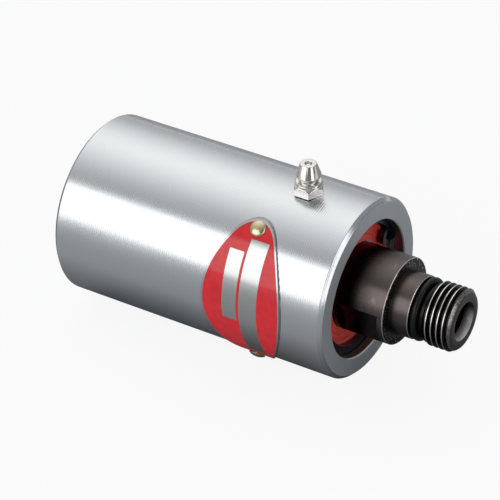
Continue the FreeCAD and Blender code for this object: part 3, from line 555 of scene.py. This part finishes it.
def make_plate_enamel():
    """Nameplate of etched aluminium: a bare rim and two bare fields for stamping, the rest sunk and
    filled with red enamel. Its shapes are worked out on the plate as it lies over the casing."""
    material, shader = new_material("red_plate", Base_Color=colour("#DC2A33"), Roughness=0.3)
    place = object_place(material)
    turned_to = add_node(material, "ShaderNodeMapping", {"vector_type": "POINT"}, Vector=place,
                         Location=(-PLATE_STATION * MM, 0, 0),
                         Rotation=(math.radians(-PLATE_ANGLE), 0, 0))
    sides = split(material, turned_to.outputs[0])
    along, across, height = (calculate(material, "DIVIDE", sides[i], MM) for i in range(3))
    from_middle = calculate(material, "ABSOLUTE", across)

    def from_circle(behind, aside, radius):
        """How far inside a circle the place is. Its centre lies behind and aside of the plate's."""
        first = calculate(material, "ADD", calculate(material, "ABSOLUTE", along), behind)
        second = calculate(material, "SUBTRACT", from_middle, aside)
        squares = (calculate(material, "POWER", calculate(material, "ABSOLUTE", part), 2.0)
                   for part in (first, second))
        return calculate(material, "SUBTRACT", radius,
                         calculate(material, "SQRT", calculate(material, "ADD", *squares)))

    # the tip's circle counts only where the sides' arcs have ended, and is far off everywhere else
    tip_start, far_off, rim_width, painted_edge_shade_width = 16.3, 50.0, 0.42, 0.07
    before_tip = calculate(material, "SUBTRACT", 1.0,
                           calculate(material, "GREATER_THAN", from_middle, tip_start))
    tip_edge = calculate(material, "ADD", from_circle(0.0, PLATE_TIP_CENTRE, PLATE_TIP_RADIUS),
                         product(material, before_tip, far_off))
    inset = calculate(material, "MINIMUM", from_circle(PLATE_SIDE_CENTRE, 0.0, PLATE_SIDE_RADIUS),
                      tip_edge)
    rim = calculate(material, "LESS_THAN", inset, rim_width)
    # a dark line of painted shade along the sheared edge, where the plate stands off the casing
    painted_edge_shade = calculate(material, "LESS_THAN", inset, painted_edge_shade_width)
    # the stamped fields, by arc length from the casing's top
    round_plate = calculate(material, "ARCTAN2", product(material, across, -1.0), height)
    angle = calculate(material, "ADD", PLATE_ANGLE, calculate(material, "DEGREES", round_plate))
    arc = product(material, angle, math.radians(1) * (PLATE_FACE - 0.2))

    def field(left, right, low, high):
        return product(material, calculate(material, "GREATER_THAN", along, left),
                       calculate(material, "LESS_THAN", along, right),
                       calculate(material, "GREATER_THAN", arc, low),
                       calculate(material, "LESS_THAN", arc, high))

    long_field, short_field = field(-0.4, 4.6, 17.9, 51.5), field(-5.1, -1.1, 21.4, 39.6)
    bare = largest(material, rim, long_field, short_field)
    red = ramp(material, noise(material, place, 400.0, 3.0), (0.3, colour("#D21F29")),
               (0.7, colour("#E32B34")))
    paint = mix(material, bare, red, colour("#C6C8C6"))
    # the edge's painted shade
    link(material, mix(material, painted_edge_shade, paint, colour("#A4A5A8")), shader.inputs["Base Color"])
    link(material, bare, shader.inputs["Metallic"])
    grain = noise(material, stretch(material, place, (0.04, 1.0, 1.0)), 3000.0, 2.0)
    drawn = product(material, grain, bare)
    link(material, rise(material, drawn, 0.0, 1.0, 0.13, 0.28), shader.inputs["Roughness"])
    raised = product(material, bare, 30.0)
    add_bump(material, shader, calculate(material, "ADD", raised, drawn), 0.002, 0.7)
    return material


MATERIALS = {
    "turned_aluminium": make_turned_aluminium(),
    "black_oxide_steel": make_black_oxide(),
    # hardened and ground: bright and smooth
    "bearing_steel": turned_metal("bearing_steel", "#CFCFD1", 0.14, 0.15, 0.0004)[0],
    # plain steel turned and left bare
    "turned_steel": turned_metal("turned_steel", "#B9B9BB", 0.32, 0.3, 0.003)[0],
    # bright nickel on steel: mirror-like with a faintly warm tone
    "nickel_plate": smooth_metal("nickel_plate", "#E6E1DC", 0.12),
    # tumbled brass: pale gold with a dimpled skin
    "brass": smooth_metal("brass", "#D3C8A4", 0.24, 1400.0, 0.03),
    # hard-drawn spring wire
    "spring_steel": smooth_metal("spring_steel", "#B4B4B6", 0.25),
    # stamped, phosphated and oiled: nearly black, with a glint on its edges
    "black_spring_steel": smooth_metal("black_spring_steel", "#434347", 0.2, 2500.0, 0.003),
    # nitrile rubber of the bearing seals, pigmented red
    "red_rubber": moulded("red_rubber", "#FF5248", 0.34, 700.0, 0.01),
    # nitrile rubber of the O-rings and the lip seal
    "black_rubber": moulded("black_rubber", "#0C0C0E", 0.36, 900.0, 0.006, specular=0.3),
    # carbon graphite, lapped
    "carbon": moulded("carbon", "#2A2A2C", 0.35, 3000.0, 0.003),
    # natural polyamide, ivory
    "cage_polyamide": moulded("cage_polyamide", "#D8CDAF", 0.42, 500.0, 0.006),
    "red_plate": make_plate_enamel(),
}


def finish_piece(piece, body, slot, *nodes, far_body=None, span=None):
    """Gives a piece its finish and the body it moves with, in place of its plain solids. A piece given
    a far body, a spring, is left on no body. The span is not used."""
    piece.data.materials.clear()
    piece.data.materials.append(MATERIALS[slot])
    if far_body:
        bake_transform(piece)
    else:
        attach(piece, body)
    if nodes:
        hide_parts(*nodes)


def make_casing():
    """A bar turned outside, bored from the front for the bearings and the seals, tapped at the rear and
    drilled from outside for the nipple, the plate's screws and the drain."""
    chamfer = 1.0
    groove_radius = RING_RADIUS + RING_PLAY
    seal_bore = LIP_SEAL_RADIUS + FIT
    chamber = GLAND_RADIUS + FIT
    port_minor = PORT_RADIUS - PORT_THREAD_DEPTH
    port_relief = PORT_RADIUS + 0.1
    port_mouth = PORT_RADIUS + 0.8
    port_floor = GLAND_REAR - 3.0
    passage = 7.5
    casing = turn_piece("casing_turning", [
        (CASING_FACE, CASING_RADIUS - chamfer), (CASING_FACE - chamfer, CASING_RADIUS),
        (CASING_REAR + chamfer, CASING_RADIUS), (CASING_REAR, CASING_RADIUS - chamfer),
        (CASING_REAR, port_mouth), (CASING_REAR + port_mouth - port_minor, port_minor),
        (port_floor - 2.3, port_minor), (port_floor - 1.9, port_relief), (port_floor, port_relief),
        (port_floor, passage), (GLAND_REAR, passage), (GLAND_REAR, chamber),
        (LIP_SEAL_REAR, chamber), (LIP_SEAL_REAR, seal_bore), (BEARING_REAR, seal_bore),
        (BEARING_REAR, BORE_RADIUS), (RING_REAR, BORE_RADIUS), (RING_REAR, groove_radius),
        (RING_FRONT + RING_PLAY, groove_radius), (RING_FRONT + RING_PLAY, BORE_RADIUS),
        (CASING_FACE - BORE_CHAMFER, BORE_RADIUS), (CASING_FACE, BORE_RADIUS + BORE_CHAMFER),
    ], sides=256)
    soften(casing, 0.12)
    lay_along_rotor(casing)
    weep_station, weep_radius, countersink = -51.0, 2.0, 3.8
    weep_drill = turn_piece("weep_drill", [
        (-CASING_RADIUS - 1.0, countersink), (-CASING_RADIUS + 0.8, weep_radius),
        (-10.0, weep_radius)], sides=64, capped=True)
    move(weep_drill, (weep_station, 0, 0))
    cut(casing, weep_drill)
    nipple_hole, screw_hole = 3.01, 0.96
    cut(casing, cylinder(nipple_hole, 10.0, (NIPPLE_STATION, 0, CASING_RADIUS - 2.0)))
    for angle in SCREW_ANGLES:
        place = out_from_axis(PLATE_STATION, CASING_RADIUS - 1.5, angle)
        cut(casing, cylinder(screw_hole, 5.0, place, (math.radians(angle), 0, 0), sides=32))
    half_root, half_mouth, past_bore = 0.05, PORT_PITCH / 2, 0.12
    groove_start, turns = CASING_REAR - 0.7, 8
    cut(casing, thread_cutter("port_thread_cutter", [
        (-half_root, PORT_RADIUS), (half_root, PORT_RADIUS), (half_mouth, port_minor - past_bore),
        (-half_mouth, port_minor - past_bore)], PORT_PITCH, groove_start, turns))
    smooth(casing)
    finish_piece(casing, "casing", "turned_aluminium", "casing")


def make_rotor():
    """Hollow shaft: a collar with two wrench flats, a pilot, a groove with its O-ring and a threaded
    nose in front, and behind the collar the bearings' journal and the tail with the seat's pocket."""
    bore, mouth = 4.3, 4.85
    thread_start, thread_foot = 9.1, 7.3
    neck, neck_front, groove_floor, groove_front = 6.9, 8.4, 6.2, 7.4
    pilot_chamfer, tail_chamfer = 0.25, 0.4
    journal, clip_floor, shank = 8.5, 8.1, 7.5
    journal_rear = -41.2
    rotor = turn_piece("rotor_turning", [
        (ROTOR_NOSE, mouth), (ROTOR_NOSE, THREAD_RADIUS - NOSE_CHAMFER),
        (THREAD_END, THREAD_RADIUS), (thread_start, THREAD_RADIUS), (neck_front, thread_foot),
        (neck_front, neck), (groove_front, neck), (groove_front, groove_floor),
        (PILOT_END, groove_floor), (PILOT_END, PILOT_RADIUS - pilot_chamfer),
        (PILOT_END - pilot_chamfer, PILOT_RADIUS), (0.0, PILOT_RADIUS),
        (0.0, COLLAR_RADIUS - COLLAR_CHAMFER), (-COLLAR_CHAMFER, COLLAR_RADIUS),
        (BEARING_FRONT, COLLAR_RADIUS), (BEARING_FRONT, journal), (CLIP_FRONT, journal),
        (CLIP_FRONT, clip_floor), (CLIP_REAR - RING_PLAY, clip_floor),
        (CLIP_REAR - RING_PLAY, journal), (journal_rear, journal), (journal_rear - 0.4, shank),
        (ROTOR_TAIL + tail_chamfer, shank), (ROTOR_TAIL, shank - tail_chamfer),
        (ROTOR_TAIL, SEAT_RADIUS + FIT), (SEAT_FRONT, SEAT_RADIUS + FIT), (SEAT_FRONT, bore),
        (MOUTH_START, bore),
    ])
    soften(rotor, 0.08)
    lay_along_rotor(rotor)
    flat_length, flat_middle, flat_depth = 11.0, -7.1, 8.0
    for angle in (FLAT_ANGLE, FLAT_ANGLE + 180.0):
        place = out_from_axis(flat_middle, FLAT_REACH + flat_depth / 2, angle)
        cut(rotor, block((flat_length, 40.0, flat_depth), place, (math.radians(angle), 0, 0)))
    # the crests are flat for an eighth of the pitch, and the groove is drawn a little past them
    root, half_root, past_crest, widened = 7.08, 0.14, 0.14, 0.08
    half_mouth = THREAD_PITCH / 2 - THREAD_PITCH / 16 + widened
    groove_start, turns = 7.05, 7
    cut(rotor, thread_cutter("nose_thread_cutter", [
        (-half_root, root), (half_root, root), (half_mouth, THREAD_RADIUS + past_crest),
        (-half_mouth, THREAD_RADIUS + past_crest)], THREAD_PITCH, groove_start, turns))
    smooth(rotor)
    finish_piece(rotor, "rotor", "black_oxide_steel", "rotor")

    section = 0.875
    deselect()
    bpy.ops.mesh.primitive_torus_add(major_segments=128, minor_segments=24,
                                     major_radius=(O_RING_RADIUS - section) * MM,
                                     minor_radius=section * MM, location=(O_RING_STATION * MM, 0, 0),
                                     rotation=(0, math.radians(90), 0))
    o_ring = newest("nose_o_ring")
    smooth(o_ring, 60, weighted=False)
    finish_piece(o_ring, "rotor", "black_rubber", "rotor_o_ring")


def make_ring():
    """Stamped retaining ring of the casing: its band tapers towards two eyed lugs. It is drawn flat
    with its gap at +X, and then stood up so that the gap faces +Y."""
    thickness = RING_FRONT - RING_REAR
    inner, off_centre, gap = 15.65, 0.65, 8.4
    lug, eye, lug_circle, lug_angle = 2.6, 1.1, 15.4, math.radians(25.0)
    through = 4.0
    lugs = [(lug_circle * math.cos(lug_angle), side * lug_circle * math.sin(lug_angle), 0)
            for side in (-1, 1)]
    ring = cylinder(RING_RADIUS, thickness, (0, 0, 0), sides=192)
    ring.name = "bore_retaining_ring"
    cut(ring, cylinder(inner, through, (off_centre, 0, 0), sides=192))
    for place in lugs:
        cut(ring, cylinder(lug, thickness, place), "UNION")
    cut(ring, block((20.0, gap, through), (10.0, 0, 0)))
    for place in lugs:
        cut(ring, cylinder(eye, through, place))
    soften(ring, 0.12, angle=40)
    move(ring, ((RING_FRONT + RING_REAR) / 2, 0, 0), (math.radians(90), 0, math.radians(90)))
    smooth(ring)
    finish_piece(ring, "casing", "black_spring_steel", "casing_retaining_ring")


def make_seal():
    """Red seal of the front bearing: a bead in the outer ring, a ribbed web, and a thin lip that stands
    just clear of the inner ring's face."""
    web, rib = SEAL_FACE - 0.3, SEAL_FACE - 0.2
    lip_back, lip_front = BEARING_FRONT + 0.07, BEARING_FRONT + 0.17
    seal = turn_piece("front_seal_moulding", [
        (SEAL_FACE, SEAL_RADIUS), (SEAL_REAR, SEAL_RADIUS), (SEAL_REAR, 11.87),
        (SEAL_REAR + 0.35, 11.6), (lip_back - 0.01, 11.6), (lip_back, 11.14), (lip_front, 11.14),
        (lip_front, 11.52), (SEAL_FACE + 0.08, 11.95), (SEAL_FACE, 12.6), (web, 12.95),
        (web, 13.5), (rib, 13.7), (web, 13.9), (web - 0.05, 14.85), (SEAL_FACE, 15.2),
    ])
    soften(seal, 0.06)
    lay_along_rotor(seal)
    smooth(seal, 40)
    finish_piece(seal, "casing", "red_rubber", "front_bearing_seal")


def make_nipple():
    """Straight grease nipple: a domed hexagon on a turned stem, and the check ball in its mouth."""
    across_flats, nut_height = 7.0, 2.4
    deselect()
    bpy.ops.mesh.primitive_cylinder_add(
        vertices=6, radius=across_flats / math.sqrt(3) * MM, depth=nut_height * MM,
        location=(0, 0, nut_height / 2 * MM), rotation=(0, 0, math.radians(30)))
    nut = newest("nipple_nut")
    crown = turn_piece("crown_tool", [(-0.3, 3.8), (0.0, 4.3), (1.4, 4.3), (2.45, 3.32)],
                       sides=64, capped=True)
    cut(nut, crown, "INTERSECT")
    cut(nut, cylinder(2.6, 8.0, (0, 0, nut_height / 2)))
    soften(nut, 0.1, angle=20)

    top = NIPPLE_TOP - CASING_RADIUS
    shank, collar, neck, head, tip = 3.0, 3.35, 2.45, 3.1, 2.05
    passage, ball_room, mouth = 0.6, 1.15, 0.85
    stem = turn_piece("nipple_stem", [
        (-5.0, passage), (-5.0, shank - 0.3), (-4.7, shank), (0.0, shank), (0.0, 3.1),
        (2.0, collar), (2.9, collar), (3.2, collar - 0.3), (3.2, neck), (4.1, neck),
        (4.45, neck + 0.4), (4.7, head), (4.95, head), (top - 0.15, tip), (top, tip - 0.15),
        (top, mouth + 0.1), (top - 0.1, mouth), (7.25, mouth), (7.25, ball_room), (2.0, ball_room),
        (2.0, passage),
    ], sides=96)
    soften(stem, 0.06)
    for piece in (nut, stem):
        move(piece, (NIPPLE_STATION, 0, CASING_RADIUS))
        smooth(piece)
    finish_piece(stem, "casing", "nickel_plate", "grease_nipple")
    finish_piece(nut, "casing", "nickel_plate")

    ball_bottom, ball_top = heights("nipple_ball")
    check_ball = ball("nipple_check_ball", (ball_top - ball_bottom) / 2,
                      (NIPPLE_STATION, 0, (ball_bottom + ball_top) / 2))
    smooth(check_ball, 60, weighted=False)
    finish_piece(check_ball, "check_ball", "nickel_plate", "nipple_ball")


def wind_spring(name, wire, outer, low, high, turns):
    """A compression spring about Z. At each end, three quarters of a turn lies closed and is ground
    flat."""
    sides, steps, closed = 20, 48 * turns, 0.75
    closed_pitch = wire * 1.04
    closed_rise = closed * closed_pitch
    ground = wire * 0.23
    rise_in_all = high - low - wire + 2 * ground
    deselect()
    bpy.ops.mesh.primitive_circle_add(vertices=sides, radius=wire / 2 * MM,
                                      location=((outer - wire / 2) * MM, 0, 0),
                                      rotation=(math.radians(90), 0, 0))
    spring = newest(name)
    apply_modifier(spring, "SCREW", axis="Z", screw_offset=0.0, angle=math.radians(360 * turns),
                   steps=steps, render_steps=steps, use_merge_vertices=False)
    for vertex in spring.data.vertices:
        turn = vertex.index // sides / steps * turns
        if turn < closed:
            climb = turn * closed_pitch
        elif turn > turns - closed:
            climb = rise_in_all - (turns - turn) * closed_pitch
        else:
            share = (turn - closed) / (turns - 2 * closed)
            climb = closed_rise + share * (rise_in_all - 2 * closed_rise)
        vertex.co.z += (low + wire / 2 - ground + climb) * MM
    only(spring)
    bpy.ops.object.mode_set(mode="EDIT")
    close_ends()
    for height, way in ((low, -1), (high, 1)):
        bpy.ops.mesh.select_all(action="SELECT")
        bpy.ops.mesh.bisect(plane_co=(0, 0, height * MM), plane_no=(0, 0, way), use_fill=True,
                            clear_outer=True, threshold=0.0001 * MM)
    bpy.ops.mesh.select_mode(type="VERT")
    bpy.ops.object.mode_set(mode="OBJECT")
    return spring


def make_springs():
    """The two compression springs, between the pieces that they press on."""
    rear, front = stations("seal_spring")
    spring = wind_spring("face_seal_spring", 1.1, outer_radius("seal_spring"), rear, front, 3)
    lay_along_rotor(spring)
    smooth(spring, 40, weighted=False)
    finish_piece(spring, "casing", "spring_steel", "seal_spring", far_body="floating_seal",
                 span=((rear * MM, 0, 0), (front * MM, 0, 0)))

    low, high = heights("nipple_spring")
    rear, front = stations("nipple_spring")
    spring = wind_spring("check_ball_spring", 0.26, (front - rear) / 2, low, high, 5)
    move(spring, (NIPPLE_STATION, 0, 0))
    smooth(spring, 40, weighted=False)
    finish_piece(spring, "casing", "spring_steel", "nipple_spring", far_body="check_ball",
                 span=((NIPPLE_STATION * MM, 0, low * MM), (NIPPLE_STATION * MM, 0, high * MM)))


def make_plate():
    """A lens cut from thin sheet, with rounded tips, rolled to the casing's side, and its two drive
    screws."""
    deselect()
    bpy.ops.mesh.primitive_plane_add(
        size=MM, location=(0, (PLATE_TIP_CENTRE + PLATE_TIP_RADIUS) * MM, 0))
    sheet = newest("rolled_nameplate")
    bpy.ops.object.mode_set(mode="EDIT")
    bpy.ops.mesh.select_all(action="SELECT")
    bpy.ops.mesh.merge(type="CENTER")
    side_arc = 68.68
    tip_arc = 180.0 - side_arc
    first_tip, last_tip = (0, PLATE_TIP_CENTRE), (0, -PLATE_TIP_CENTRE)
    # the outline, from the end of the first tip round to it again: steps, angle and centre of each arc
    for steps, angle, centre in (
            (12, tip_arc / 2, first_tip), (48, side_arc, (-PLATE_SIDE_CENTRE, 0)),
            (24, tip_arc, last_tip), (48, side_arc, (PLATE_SIDE_CENTRE, 0)),
            (12, tip_arc / 2, first_tip)):
        bpy.ops.mesh.spin(steps=steps, angle=math.radians(angle), axis=(0, 0, 1),
                          center=(centre[0] * MM, centre[1] * MM, 0))
    bpy.ops.mesh.select_all(action="SELECT")
    bpy.ops.mesh.remove_doubles(threshold=WELD)
    bpy.ops.mesh.edge_face_add()
    bpy.ops.mesh.extrude_region_move(TRANSFORM_OT_translate={"value": (0, 0, 40.0 * MM)})
    bpy.ops.mesh.select_all(action="SELECT")
    bpy.ops.mesh.normals_make_consistent(inside=False)
    bpy.ops.object.mode_set(mode="OBJECT")
    move(sheet, (PLATE_STATION, 0, 0))
    # what is left between two cylinders is the rolled sheet
    for radius, depth, operation in ((PLATE_FACE, 60.0, "INTERSECT"),
                                     (CASING_RADIUS + 0.02, 70.0, "DIFFERENCE")):
        cut(sheet, cylinder(radius, depth, (PLATE_STATION, 0, 0), (0, math.radians(90), 0), 360),
            operation)
    soften(sheet, 0.1, angle=50)
    move(sheet, (0, 0, 0), (math.radians(PLATE_ANGLE), 0, 0))
    smooth(sheet)
    finish_piece(sheet, "casing", "red_plate", "nameplate")

    shank, seat = 0.95, 0.02
    for number, angle in enumerate(SCREW_ANGLES, start=1):
        screw = turn_piece(f"drive_screw_{number}", [
            (-4.4, 0.9), (-4.4, shank), (seat, shank), (seat, 2.02), (0.1, 2.1), (0.3, 2.02),
            (0.55, 1.68), (0.76, 1.15), (0.88, 0.6), (0.92, 0.02)], sides=64, capped=True)
        move(screw, out_from_axis(PLATE_STATION, PLATE_FACE, angle), (math.radians(angle), 0, 0))
        smooth(screw, 40)
        if number == 1:
            finish_piece(screw, "casing", "brass", "plate_screws")
        else:
            finish_piece(screw, "casing", "brass")


make_casing()
make_rotor()
make_ring()
make_seal()
make_nipple()
make_springs()
make_plate()

for entry in frame["record"]["subparts"]:
    for slot in frame["nodes"][entry["node"]].material_slots:
        slot.material = MATERIALS[entry["material_slot"]]


# Stage: a pale floor, a pale studio, soft lamps and the photograph's camera

def lay_sheet(name, size, height, shade):
    """A square sheet under the object. Its size is in metres, its height is in millimetres."""
    deselect()
    bpy.ops.mesh.primitive_plane_add(size=size, location=(-0.04, 0, height * MM))
    sheet = bpy.context.object
    sheet.name = name
    material, shader = new_material(name, Base_Color=colour(shade), Roughness=0.9)
    sheet.data.materials.append(material)
    return sheet, material, shader


def make_floor():
    """A pale floor that reads as white paper and keeps a soft shadow, and just above it a grey card
    that only
    reflections meet: a painted reflection of a darker floor that the metal shows from below, with
    painted shadow under the object."""
    floor_height = -CASING_RADIUS - 0.2
    material, shader = lay_sheet("pale_floor", 6.0, floor_height, "#E6E7E9")[1:]
    rays = add_node(material, "ShaderNodeLightPath").outputs
    seen = largest(material, rays["Is Glossy Ray"], rays["Is Transmission Ray"],
                   rays["Is Camera Ray"])
    white = add_node(material, "ShaderNodeEmission", Color=grey(1.0), Strength=1.0)
    blend = add_node(material, "ShaderNodeMixShader", i0=product(material, seen, 0.9),
                     i1=shader.outputs[0], i2=white.outputs[0])
    link(material, blend.outputs[0],
         material.node_tree.nodes["Material Output"].inputs["Surface"])

    # painted reflection: a grey card seen only by reflections, painted darker under the object as its
    # shadow
    card_shade, shade_under_object = "#B0B4B8", "#6C7074"
    reflection_card, material, shader = lay_sheet("painted_reflection_card", 1.2, floor_height + 0.05, card_shade)
    sideways = calculate(material, "ABSOLUTE", split(material, object_place(material))["Y"])
    link(material, ramp(material, rise(material, sideways, 12.0 * MM, 40.0 * MM),
                        (0.0, colour(shade_under_object)), (1.0, colour(card_shade))),
         shader.inputs["Base Color"])
    reflection_card.visible_camera = reflection_card.visible_diffuse = reflection_card.visible_shadow = False


def make_world():
    """A pale studio, softly brighter overhead and behind."""
    world = bpy.data.worlds.new("studio")
    world.use_nodes = True
    bpy.context.scene.world = world
    place = add_node(world, "ShaderNodeTexCoord").outputs["Generated"]
    towards_brightest = dot(world, place, (-0.446, 0.393, 0.804))
    glow = ramp(world, towards_brightest, (0.0, grey(0.18)), (0.446, (0.33, 0.34, 0.355, 1)),
                (0.599, grey(0.47)), (0.734, grey(0.615)), (0.846, grey(0.835)),
                (0.93, grey(1.035)), (1.0, (1.31, 1.30, 1.265, 1)))
    link(world, glow, world.node_tree.nodes["Background"].inputs["Color"])


def put_on_stage(name, data, axes, place):
    """Adds a lamp or a camera whose own axes point right, up and back, at a place in metres."""
    item = bpy.data.objects.new(name, data)
    bpy.context.scene.collection.objects.link(item)
    item.matrix_world = Matrix.Translation(place) @ Matrix(axes).transposed().to_4x4()
    return item


def add_lamp(name, place, aim, width, height, power, along):
    """A softbox whose width lies in the given direction. Its sizes and places are in metres."""
    light = bpy.data.lights.new(name, "AREA")
    light.shape = "RECTANGLE"
    light.size, light.size_y = width, height
    light.energy = power
    back = (Vector(place) - Vector(aim)).normalized()
    across = (Vector(along) - back * back.dot(Vector(along))).normalized()
    put_on_stage(name, light, (across, back.cross(across), back), Vector(place))


def make_camera():
    """The photograph's view: 33 degrees round from the side, 35 degrees down, tilted a little."""
    azimuth, elevation, roll = math.radians(33.056), math.radians(35.077), math.radians(-1.812)
    distance, aim = 636.3, Vector((-43.80, 0, -0.28))
    back = Vector((math.sin(azimuth) * math.cos(elevation),
                   -math.cos(azimuth) * math.cos(elevation), math.sin(elevation)))
    level = Vector((0, 0, 1)).cross(back).normalized()
    steep = back.cross(level)
    right = math.cos(roll) * level + math.sin(roll) * steep
    up = -math.sin(roll) * level + math.cos(roll) * steep
    data = bpy.data.cameras.new("photo_camera")
    data.sensor_width = 36.0
    data.lens = 185.42
    bpy.context.scene.camera = put_on_stage("photo_camera", data, (right, up, back),
                                            (aim + back * distance) * MM)


make_floor()
make_world()
add_lamp("side_softbox", (-0.264, -0.394, 0.182), (-0.264, 0, 0), 0.50, 0.36, 0.9, (1, 0, 0))
add_lamp("nose_softbox", (0.415, -0.119, 0.132), (0, 0, 0), 0.72, 0.16, 0.54, (0, -0.698, -0.715))
add_lamp("camera_side_card", (0.07, -0.42, 0.16), (0.015, 0, 0), 0.16, 0.16, 0.11, (1, 0, 0))
make_camera()
bpy.context.scene.view_settings.view_transform = "Standard"
